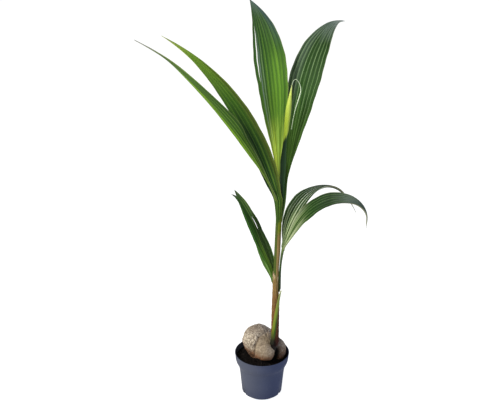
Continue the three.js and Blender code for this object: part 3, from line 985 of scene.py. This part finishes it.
SPEAR_FOOT = np.array([56, -8, 667])
SPEAR_TIP = np.array([77, 2, 1013])
SPEAR_LEAN = 2.3
SPEAR_RADII = (3, 8.8)
SPEAR_LEAST_RADIUS = 0.5
SPEAR_WIDEST = 0.8
SPEAR_SWELL = 1.7
SPEAR_STALK_SWELL = 3.9
SPEAR_SIDESTEP = 2.2
SPEAR_SET_BACK = 9
SPEAR_ROWS = 110
SPEAR_SIDES = 96
# The drying thread's course from the spear's tip, over a loop and down beside the spear
SPEAR_THREAD = np.array([(0, 0, 0), (4, -2, 12), (12, -4, 15), (21, -5, 2), (24, -6, -16), (18, -7, -42),
                         (10, -7, -70), (4, -8, -100), (0, -9, -128)])


def spear_material():
    sheet, around, up, thin, wide = streaked("spear_skin", 0.5, 0.1, 30, 6)
    sheet.colour = sheet.ramp(up, [(0, (96, 126, 36)), (0.35, (134, 158, 42)), (0.7, (150, 168, 52)),
                                   (0.93, (178, 190, 90)), (1, (184, 188, 136))])
    sheet.paint((122, 152, 44), (thin, 0.5, 0.3, 0, 0.45))
    sheet.paint((204, 212, 120), (thin, 0.6, 0.76, 0, 0.5))
    # Painted shade: olive on the right side
    sheet.paint((134, 146, 58), (around, 0.78, 0.86), 0.7)
    # Painted shade in dark greens over the lower part, below a slanting edge
    shaded_green = sheet.mix((around, 0.74, 0.88), (18, 38, 18), (38, 68, 28))
    shade_edge = sheet.add(up, sheet.math("SUBTRACT", around, 0.75), -0.2)
    sheet.paint(sheet.mix((thin, 0.2, 0.6), (18, 38, 18), shaded_green), (sheet.add(shade_edge, thin, 0.12), 0.64, 0.6))
    return sheet.finish((wide, 0.3, 0.7, 0.36, 0.55), thin, 0.0006, 0.6)


def spear_centre(share):
    centre = lerp(SPEAR_FOOT, SPEAR_TIP, share ** SPEAR_LEAN)
    centre[0] += SPEAR_SIDESTEP * smooth(0.35, 0.65, share)
    centre[1] += SPEAR_SET_BACK * smooth(0.42, 0, share)
    centre[2] = lerp(SPEAR_FOOT[2], SPEAR_TIP[2], share)
    return centre


def make_spear():
    rings = []
    for share in np.linspace(0, 1, SPEAR_ROWS):
        swelling = lerp(*SPEAR_RADII, (share / SPEAR_WIDEST) ** SPEAR_SWELL)
        pointing = max(SPEAR_RADII[1] * (1 - share) / (1 - SPEAR_WIDEST), SPEAR_LEAST_RADIUS)
        half = max((swelling ** -4 + pointing ** -4) ** -0.25, SPEAR_LEAST_RADIUS)
        half += SPEAR_STALK_SWELL * smooth(0.5, 0.34, share)
        rings.append(level_ring(spear_centre(share), half, half))

    def profile(angles, share):
        wrap = (angles / TURN + 0.25 * share + 0.3) % 1
        return 0.9 + 0.14 * wrap + 0.02 * np.sin(23 * angles)
    piece("spear_leaf", column(rings, SPEAR_SIDES, profile), spear_material(), ["spear"])


def thread_material():
    sheet = Sheet("spear_thread", 0.6, 0.3)
    around, up = sheet.map("along")
    streak = sheet.streaks((up, around), (40, 1))
    sheet.colour = sheet.mix(streak, (150, 166, 128), (206, 214, 186))
    return sheet.finish(height=streak, depth=0.0003)


def make_spear_thread():
    loop = curve(spear_centre(0.995) + SPEAR_THREAD, steps=12)
    radii = 0.6 + 0.9 * hill(np.linspace(0, 1, len(loop)), 0.6, 0.16)
    piece("spear_thread", tube(loop, radii, sides=8), thread_material())


# Leaf lobes

CUP = 0.05
WAVE = 1.6
COURSE_STEPS = 240
ROWS = 150
PLEAT_COLUMNS = 8
BLADE_HALF = 0.45
FOOT_HALF = 2.2
RIM_THINNING = 0.35
TIP_LEAST = 0.7
DROOP_START = 0.86
HUMP = (0.83, 0.1)
FULLER = (0.24, 0.17)
# What most lobes share. A lobe grows from its foot as its solid does, by length, rise and sink, bearing, roll
# and width. Below its foot it runs by its heel to its root in the stem, tucked aside, wrapped and shrunk. It
# may be fuller low down, have a hump or droop near its tip, a thread past it, a slit (place across, from and
# to along, width) and trims of an edge (side, share of the width, from and to along). Its colours are stops
# along the blade, veins, painted shade in its folds, lines at its base, a rim and bands (from and to across,
# from and to along, colour, weight).
PLAIN_LOBE = dict(
    fuller=0, tip=2, thread=2, slit=None, tuck=(0, 0), tuck_reach=0.5, wrap=0, shrink=0.7, hump=0,
    droop=(0, 0), gloss=0.05, rim=0.5)
LOBES = {
    "upright_lobe_left": dict(
        foot=(50, 2, 667), length=588, rise=(83, 38.5), sink=4.4, bearing=(120, 129.5), roll=(-12, -12.5),
        width=96, widest=0.65, taper=1, heel=(49, 0, 650), root=(48, -3, 630), foot_width=14, thread=24,
        slit=(0.11, 0.58, 0.88, 3.2), trims=[(-1, 0.06, 0.7, 1.05), (1, -0.05, 0.6, 1), (1, 0.07, 0, 0.55)],
        slot="leaf_fresh", pleats=8, depth=0.8, curl=0.2, contrast=0.26, gloss=0.07, fade=(1, 0.85),
        base_lines=0.55, base_vein=(190, 222, 96), vein=(128, 164, 60), shade=(38, 68, 22),
        # The bright yellow lowest stops are partly the young base's own colour and partly painted light
        # shining through it; the grey top stop is partly the dry tip and partly painted reflection of the sky
        stops=[(0, (255, 255, 110)), (0.22, (228, 250, 80)), (0.42, (95, 136, 38)), (0.75, (58, 90, 32)),
               (0.9, (58, 80, 48)), (1, (84, 100, 92))],
        bands=[(0.5, 0.86, 0, 0.66, (90, 132, 36), 0.55), (0, 0.34, 0.3, 0.95, (44, 74, 28), 0.6),
               (0.15, 0.17, 0.35, 0.8, (170, 178, 166), 0.7), (0.2, 0.21, 0.3, 0.8, (30, 48, 30), 0.7),
               (0.24, 0.25, 0.3, 0.75, (164, 174, 150), 0.6), (0.78, 1, 0.82, 1, (54, 68, 74), 0.85),
               (0.86, 0.95, 0.22, 0.5, (52, 84, 38), 0.7), (0.62, 0.74, 0.3, 0.74, (98, 138, 40), 0.5),
               (0.86, 0.9, 0.5, 0.7, (40, 68, 28), 0.6), (0.4, 0.46, 0.35, 0.85, (40, 72, 26), 0.55),
               (0.29, 0.31, 0.2, 0.8, (28, 50, 24), 0.7)]),
    "upright_lobe_right": dict(
        foot=(57.5, 3.5, 667), length=580, rise=(78, -0.5), sink=4.35, bearing=(42, 46), roll=(1, 18.5),
        width=97, widest=0.61, taper=1.15, heel=(57, -4, 645), root=(49.6, -9.5, 596), foot_width=20, tip=6,
        thread=14, tuck=(3, 0), tuck_reach=0.2, droop=(0, -6), trims=[(-1, 0.09, 0, 1), (1, -0.05, 0.75, 1)],
        slot="leaf_deep", pleats=8, depth=2, curl=1.6, rim=0.35, contrast=0.8, gloss=0.07, fade=(1, 0.85),
        base_lines=0.3, base_vein=(84, 118, 52), vein=(106, 128, 88), shade=(20, 42, 16),
        # The grey top stops are partly the dry tip and partly painted reflection of the sky
        stops=[(0, (52, 82, 32)), (0.2, (78, 114, 40)), (0.5, (44, 74, 26)), (0.8, (42, 64, 32)),
               (0.92, (104, 118, 106)), (1, (140, 148, 140))],
        # The second band darkens the base as painted shade
        bands=[(0, 0.3, 0.45, 1, (84, 98, 82), 0.6), (0, 0.5, 0, 0.16, (22, 38, 22), 0.5)]),
    "leaning_lobe_upper": dict(
        foot=(45.5, -8.5, 667), length=606, rise=(72.5, 34), sink=1.45, bearing=(170.5, 205.5),
        roll=(-73.5, -37.5), width=58, widest=0.33, taper=0.92, heel=(47.5, -12.5, 642), root=(44, -9, 556),
        foot_width=27, thread=4, tuck=(0, -7), tuck_reach=0.14, wrap=0.25, shrink=0.62,
        trims=[(1, 0.16, 0.3, 0.85)],
        slot="leaf_fresh", pleats=5, depth=1.6, curl=0.3, rim=0.6, contrast=0.5, fade=(0.95, 0.75),
        base_lines=0.4, base_vein=(88, 116, 40), vein=(112, 142, 46), shade=(40, 72, 22),
        # The low stops are darkened as painted shade
        stops=[(0, (58, 82, 30)), (0.3, (46, 73, 24)), (0.55, (78, 116, 34)), (0.82, (128, 164, 48)),
               (0.93, (160, 180, 72)), (1, (176, 184, 112))],
        # The first band is painted shadow, cast by the lower lobe beside the fold
        bands=[(0, 0.5, 0, 0.44, (14, 34, 15), 0.92), (0.8, 1, 0, 0.78, (104, 106, 42), 0.7)]),
    "leaning_lobe_lower": dict(
        foot=(37, -15, 667), length=663, rise=(69.5, 37.5), sink=0.85, bearing=(213, 196.5), roll=(42, -1.5),
        width=69, widest=0.56, taper=1.2, heel=(39, -15, 652), root=(44, -9, 634), foot_width=13,
        tuck=(2.5, 0), tuck_reach=0.2, hump=6, droop=(0, -5),
        trims=[(1, -0.5, -0.1, 0.45), (1, 0.3, 0.6, 1), (-1, -0.25, -0.15, 0.25)],
        slot="leaf_fresh", pleats=5, depth=1.6, curl=0.6, rim=0.3, contrast=0.75, fade=(0.95, 0.75),
        base_lines=0.4, base_vein=(98, 124, 48), vein=(90, 122, 38), shade=(22, 44, 10),
        stops=[(0, (124, 142, 72)), (0.1, (104, 128, 54)), (0.2, (64, 92, 26)), (0.4, (46, 76, 16)),
               (0.72, (60, 92, 28)), (0.88, (66, 84, 40)), (1, (128, 130, 124))],
        bands=[(0.72, 1, 0.1, 0.6, (108, 144, 26), 0.6), (0.52, 1, 0.6, 0.86, (122, 160, 38), 0.65),
               (0.4, 0.48, 0.3, 0.8, (34, 58, 20), 0.5), (0, 0.24, 0.2, 0.7, (26, 50, 16), 0.6),
               (0.66, 1, 0, 0.12, (150, 158, 100), 0.6), (-0.2, 0.02, 0.04, 0.2, (200, 200, 140), 0.7)]),
    "low_lobe_front": dict(
        foot=(28.2, -20.5, 402), length=300, rise=(72, 47.5), sink=1.55, bearing=(159.5, 134),
        roll=(71.5, 73.5), width=46, widest=0.54, taper=0.6, heel=(30.5, -20.5, 400), root=(34, -20, 397),
        foot_width=11, tip=7, tuck=(11, 0), droop=(-8, -10),
        trims=[(1, -0.55, 0, 1), (-1, 0.08, 0.2, 0.85), (-1, -0.4, -0.15, 0.28)],
        slot="leaf_old", pleats=4, depth=1.4, curl=0.2, rim=0.15, contrast=0.75, gloss=0.03, fade=(1, 0.8),
        base_lines=0.3, base_vein=(84, 112, 34), vein=(52, 88, 24), shade=(12, 28, 8),
        stops=[(0, (70, 92, 26)), (0.2, (30, 58, 15)), (0.7, (21, 43, 13)), (0.93, (36, 60, 26)),
               (1, (54, 58, 50))],
        bands=[(0, 0.4, 0.02, 0.42, (84, 112, 38), 0.6), (0.7, 1, 0.05, 0.9, (44, 86, 24), 0.45),
               (0.5, 0.62, 0, 0.9, (12, 30, 10), 0.55)]),
    "low_lobe_back": dict(
        foot=(31, -13.5, 402), length=303, rise=(72.5, 39.5), sink=0.87, bearing=(125.5, 137.5),
        roll=(-61.5, -51), width=38, widest=0.46, taper=0.7, heel=(32.5, -14, 400), root=(35, -15, 396),
        foot_width=14, fuller=12, tip=3, slit=(0.6, 0.52, 0.69, 1.8), tuck=(3, 0),
        trims=[(-1, -0.12, 0.4, 0.84)],
        slot="leaf_old", pleats=4, depth=1.3, curl=0.3, rim=0.15, contrast=0.6, gloss=0.04, fade=(1, 0.8),
        base_lines=0.2, base_vein=(112, 138, 80), vein=(92, 116, 66), shade=(32, 54, 28),
        # The stops are painted lighter low down, where the front lobe shades the blade, and darker towards
        # the lit tip: painted light and shade
        stops=[(0, (78, 106, 42)), (0.4, (76, 105, 54)), (0.62, (52, 78, 40)), (0.85, (40, 64, 28)),
               (1, (50, 62, 46))],
        bands=[(0.72, 1, 0.62, 1, (84, 104, 56), 0.6)]),
    "arching_lobe_back": dict(
        foot=(60, -21, 523), length=323, rise=(78.5, -50.5), sink=1.44, bearing=(48, 25.5), roll=(25, -17.5),
        width=55, widest=0.4, taper=1.65, heel=(60, -22, 518), root=(60, -22, 512), foot_width=9, tip=6,
        thread=12, trims=[(1, -0.12, 0.05, 0.5)],
        slot="leaf_deep", pleats=6, depth=1.9, curl=2.6, contrast=0.9, fade=(0.82, 0.62),
        base_lines=0.5, base_vein=(170, 182, 140), vein=(214, 220, 196), shade=(26, 48, 22),
        stops=[(0, (96, 116, 62)), (0.25, (74, 98, 52)), (0.6, (56, 82, 44)), (0.8, (38, 54, 36)),
               (1, (34, 46, 32))],
        bands=[(0, 0.12, 0.3, 0.6, (22, 40, 20), 0.4), (0.74, 1, 0.15, 0.6, (32, 52, 30), 0.6)]),
    "arching_lobe_front": dict(
        foot=(63, -29, 523), length=375, rise=(64, -92), sink=2.7, bearing=(-39.5, -0.5), roll=(45.5, 14.5),
        width=60, widest=0.4, taper=1.12, heel=(62, -26, 518), root=(62, -25.5, 512), foot_width=9, tip=4.5,
        thread=27, trims=[(-1, 0.26, 0.3, 0.85), (1, -0.12, 0.25, 0.6)],
        slot="leaf_deep", pleats=6, depth=1.9, curl=1.5, contrast=0.9, fade=(0.85, 0.65),
        base_lines=0.6, base_vein=(138, 154, 100), vein=(80, 108, 58), shade=(14, 32, 10),
        stops=[(0, (66, 86, 38)), (0.18, (46, 70, 28)), (0.4, (28, 56, 16)), (0.62, (26, 46, 22)),
               (0.76, (84, 94, 82)), (0.9, (66, 78, 66)), (1, (104, 112, 102))],
        # The first two bands, pale stripes at the base, are painted highlight
        bands=[(-0.2, 0.2, 0, 0.34, (176, 186, 150), 0.55), (0.62, 0.84, 0, 0.28, (196, 202, 166), 0.7),
               (0.92, 1, 0, 0.3, (62, 56, 40), 0.6)]),
}


def lobe_named(name):
    return SimpleNamespace(name=name, **{**PLAIN_LOBE, **LOBES[name]})


def lobe_frame(lobe, shares):
    """Directions along a lobe: ahead, across its width and out of its face."""
    grown = np.clip(shares, 0, 1)
    rise = np.radians(lerp(*lobe.rise, grown ** lobe.sink))
    bearing = np.radians(lerp(*lobe.bearing, grown))
    roll = np.radians(lerp(*lobe.roll, grown))[:, None]
    ahead = np.stack([np.cos(rise) * np.cos(bearing), np.cos(rise) * np.sin(bearing), np.sin(rise)], -1)
    level = np.stack([-np.sin(bearing), np.cos(bearing), np.zeros_like(bearing)], -1)
    across = level * np.cos(roll) + np.cross(ahead, level) * np.sin(roll)
    return ahead, across, np.cross(ahead, across)


def sunk_share(shares):
    """How far a lobe is below its foot, from 0 there to 1 at its root."""
    return np.clip(shares, None, 0) / min(shares.min(), -1e-6)


def lobe_course(lobe, shares):
    """Points on the middle line of a lobe; below the foot it bends into the stem."""
    last = max(1, shares.max())
    steps = int(COURSE_STEPS * last) + 1
    ahead, _, _ = lobe_frame(lobe, (np.arange(steps) + 0.5) * last / steps)
    walk = np.concatenate([np.zeros((1, 3)), np.cumsum(ahead, axis=0)]) * lobe.length * last / steps
    marks = np.arange(steps + 1) * last / steps
    grown = np.clip(shares, 0, None)
    points = np.stack([np.interp(grown, marks, walk[:, k]) for k in range(3)], -1)
    points[:, [0, 1]] += np.outer(smooth(lobe.tuck_reach, 0, shares), lobe.tuck)
    points[:, [0, 2]] += np.outer(np.clip((shares - DROOP_START) / (1 - DROOP_START), 0, 2) ** 2, lobe.droop)
    points[:, 2] += lobe.hump * hill(shares, *HUMP)
    foot = np.array(lobe.foot)
    sunk = sunk_share(shares)[:, None]
    return foot + points + 2 * sunk * (1 - sunk) * (lobe.heel - foot) + sunk ** 2 * (lobe.root - foot)


def lobe_width(lobe, shares):
    skew = math.log(0.5) / math.log(lobe.widest)
    grown = np.clip(shares, 0, 1)
    swell = lobe.width * np.clip(np.sin(math.pi * grown ** skew), 0, None) ** lobe.taper
    swell = swell + lobe.fuller * hill(shares, *FULLER)
    foot = lobe.foot_width * np.clip(1 - 6 * grown, 0, 1) * (1 - lobe.shrink * sunk_share(shares))
    end = lobe.tip * smooth(shares.max(), 0.97, shares) + TIP_LEAST
    return (swell ** 4 + foot ** 4 + end ** 4) ** 0.25


def blade_bands(sheet, bands, across, drift):
    for left, right, low, high, tint, weight in bands:
        edge = min(max(right - left, 0.03), 0.12)
        aside = sheet.times((across, left - edge, left + edge), (across, right + edge, right - edge))
        along = sheet.times((drift, low - 0.12, low + 0.1), (drift, high + 0.14, high - 0.14))
        sheet.paint(tint, aside, along, weight)


def blade_material(lobe):
    sheet = Sheet(lobe.name + "_leaf", 0.5, lobe.gloss)
    across, up = sheet.map("blade")
    seed = len(lobe.name + "_leaf") * 3.7
    spread = sheet.times(across, lobe.pleats)
    streak = sheet.streaks((spread, up), (4, 2.6), seed, 4)
    cloud = sheet.streaks((spread, up), (1, 7), seed + 5, 4)
    uneven = sheet.streaks((spread, up), (0.7, 1.6), seed + 11, 2)
    drift = sheet.add(up, sheet.math("SUBTRACT", cloud, 0.5), 0.16)
    sheet.colour = sheet.ramp(drift, lobe.stops)
    blade_bands(sheet, lobe.bands, across, drift)
    # Pale veins, and painted shade in the fold valleys, which fade out unevenly towards the tip
    faded = sheet.times((uneven, 0.34, 0.62, 0.35, 1), (up, *lobe.fade))
    strong = sheet.times(faded, lobe.contrast)
    vein = sheet.mix((up, 0.25, 0.5), lobe.base_vein, lobe.vein)
    fold = sheet.add(sheet.off_middle(spread), sheet.math("SUBTRACT", streak, 0.5), 0.25)
    sheet.paint(vein, (fold, 0.34, 0.48), strong)
    sheet.paint(lobe.shade, (fold, 0.2, 0.02), strong)
    sheet.paint(lobe.shade, (streak, 0.48, 0.3, 0, 0.4))
    sheet.paint(vein, (streak, 0.58, 0.76, 0, 0.35), faded)
    # Pale lines and painted shade between them where the blade is still folded at its base, and a dry rim
    base = sheet.step(up, 0.46, 0.24, 0, lobe.base_lines)
    line = sheet.off_middle(sheet.add(0.2, across, 3))
    sheet.paint(lobe.base_vein, (line, 0.32, 0.44), base)
    sheet.paint(lobe.shade, (line, 0.22, 0.08), base)
    rim = sheet.math("ABSOLUTE", sheet.add(-1, across, 2))
    sheet.paint((134, 128, 92), (rim, 0.955, 1, 0, lobe.rim))
    ribs = sheet.math("SINE", sheet.times(spread, 5 * TURN))
    return sheet.finish((cloud, 0.3, 0.7, 0.36, 0.52), sheet.add(streak, ribs, 0.12), 0.0006, 0.5)


def blade_skin(lobe, shares, aside):
    """The middle surface of a blade, row by row. Each point has its place, half the blade's thickness, the
    direction out of its face and its place on the map."""
    _, across, face = lobe_frame(lobe, shares)
    width = lobe_width(lobe, shares)
    fullness = np.clip(width / lobe.width, 0, 1)
    phase = lobe.pleats * TURN * (1 - aside) / 2
    depth = lobe.depth * fullness ** 0.7 * smooth(1, 0.9, shares)
    wave = WAVE * fullness * np.sin(9 * shares + len(lobe.name))
    cup = (CUP - lobe.wrap * smooth(0.08, -0.02, shares)) * width
    lift = np.outer(depth, 0.8 * np.cos(phase) + 0.12 * np.cos(3 * phase))
    lift += np.outer(cup, aside ** 2) + np.outer(wave, aside ** 3)
    ragged = 1 + 0.012 * np.sin(37 * shares + 3 * len(lobe.name)) + 0.008 * np.sin(83 * shares)
    trim = np.ones((len(shares), len(aside)))
    for side, amount, low, high in lobe.trims:
        reach = smooth(low, low + 0.15, shares) * smooth(high, high - 0.12, shares)
        trim += np.outer(amount * reach, aside * side > 0)
    offset = np.outer(width * ragged, aside) * trim / 2
    curl = lobe.curl * smooth(0.6, 0.84, shares) * smooth(shares.max(), 1, shares)
    thick = BLADE_HALF + FOOT_HALF * smooth(0.12, -0.02, shares) + curl
    half = np.outer(thick, 1 - RIM_THINNING * aside ** 4)
    middle = lobe_course(lobe, shares)[:, None] + across[:, None] * offset[..., None]
    middle += face[:, None] * lift[..., None]
    normal = np.broadcast_to(face[:, None], middle.shape)
    place = np.stack(np.meshgrid((1 - aside) / 2, np.clip(shares, 0, 1)), -1)
    return np.concatenate([middle, half[..., None], normal, place], -1).reshape(-1, 9)


def blade_quads(skin, lobe, shares, columns):
    """Quads over a blade's skin. A slit doubles the points of one column and moves its outer side away."""
    index = np.arange(len(skin)).reshape(-1, columns)
    left, right = index.copy(), index.copy()
    if lobe.slit:
        place, low, high, gap = lobe.slit
        split = round(place * (columns - 1))
        rows = np.where((shares > low) & (shares < high))[0]
        bulge = gap * np.sin(math.pi * (shares[rows] - low) / (high - low))
        outer, moving, way = left, range(split + 1), 1
        if place > 0.5:
            outer, moving, way = right, range(split, columns), -1
        outer[rows, split] = np.arange(len(skin), len(skin) + len(rows))
        skin = np.concatenate([skin, skin[index[rows, split]]])
        _, across, _ = lobe_frame(lobe, shares[rows])
        for k in moving:
            skin[outer[rows, k], :3] += across * (way * bulge)[:, None]
    quads = np.stack([right[:-1, :-1], left[:-1, 1:], left[1:, 1:], right[1:, :-1]], -1)
    return skin, quads.reshape(-1, 4)


def both_sides(quads, count):
    """Faces of both sides of a skin of so many points, and walls along its open edges."""
    edges = dict.fromkeys(pair for quad in quads for pair in zip(quad, np.roll(quad, -1)))
    walls = np.array([[b, a, a + count, b + count] for a, b in edges if (b, a) not in edges])
    return np.concatenate([quads, quads[:, ::-1] + count, walls])


def bake_map(places, count):
    """A map with the face of so many quads on its left half, the back on its right and the rims between."""
    baked = places * [0.46, 0.98] + 0.01
    baked[count:2 * count, :, 0] += 0.5
    baked[2 * count:, :2, 0] = 0.482
    baked[2 * count:, 2:, 0] = 0.498
    return baked


def make_lobe(lobe, nodes):
    tail = np.linalg.norm(np.array(lobe.root) - lobe.foot)
    shares = np.linspace(-tail / lobe.length, 1 + lobe.thread / lobe.length, ROWS + 1)
    aside = np.linspace(1, -1, PLEAT_COLUMNS * lobe.pleats + 1)
    skin, quads = blade_quads(blade_skin(lobe, shares, aside), lobe, shares, len(aside))
    points, half, normal, place = np.split(skin, [3, 4, 7], axis=1)
    verts = np.concatenate([points + normal * half, points - normal * half])
    faces = both_sides(quads, len(skin))
    places = np.concatenate([place, place])[faces]
    shape = verts, faces, {"blade": places, "OFBake": bake_map(places, len(quads))}
    piece(lobe.name + "_blade", shape, blade_material(lobe), nodes, sharp=60)


# Torn strip

STRIP_PLACE = 0.79
STRIP_COURSE = np.array([(0, 0, 0), (4, -1, -7), (9, -2, -16), (14, -2, -27)])
STRIP_HALF_WIDTHS = (1.8, 0.5)
STRIP_HALF_DEPTH = 0.4
STRIP_TILT = 0.6


def strip_material():
    sheet = Sheet("torn_strip", 0.7, 0.08)
    streak = sheet.streaks(sheet.map("along"), (6, 9))
    sheet.colour = sheet.mix(streak, (96, 100, 84), (168, 168, 156))
    return sheet.finish(height=streak, depth=0.0003)


def make_torn_strip(lobe):
    """A dry shred that hangs from the lower edge of a lobe."""
    shares = np.array([0, STRIP_PLACE])
    _, across, _ = lobe_frame(lobe, shares)
    edge = lobe_course(lobe, shares) - across * (lobe_width(lobe, shares)[:, None] / 2 - 1)
    points = curve(edge[1] + STRIP_COURSE, steps=6)
    rings = []
    for share, point in zip(np.linspace(0, 1, len(points)), points):
        side = np.array([lerp(*STRIP_HALF_WIDTHS, share), 0, STRIP_TILT])
        rings.append((point, side, np.array([0, STRIP_HALF_DEPTH, 0])))
    piece("torn_strip", column(rings, sides=10), strip_material())


camera()
studio()
make_pot()
make_soil()
make_crumbs()
make_nut()
make_stem()
make_sheath()
make_loose_fibres()
make_old_stalk()
STALK_SKIN = stalk_material()
for stalk_name, stalk in STALKS.items():
    make_stalk(stalk_name, STALK_SKIN, **stalk)
make_spear()
make_spear_thread()
for lobe_name in LOBES:
    bent_nodes = [lobe_name + "_base", lobe_name + "_tip"]
    make_lobe(lobe_named(lobe_name), bent_nodes if bent_nodes[0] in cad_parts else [lobe_name])
make_torn_strip(lobe_named("arching_lobe_front"))
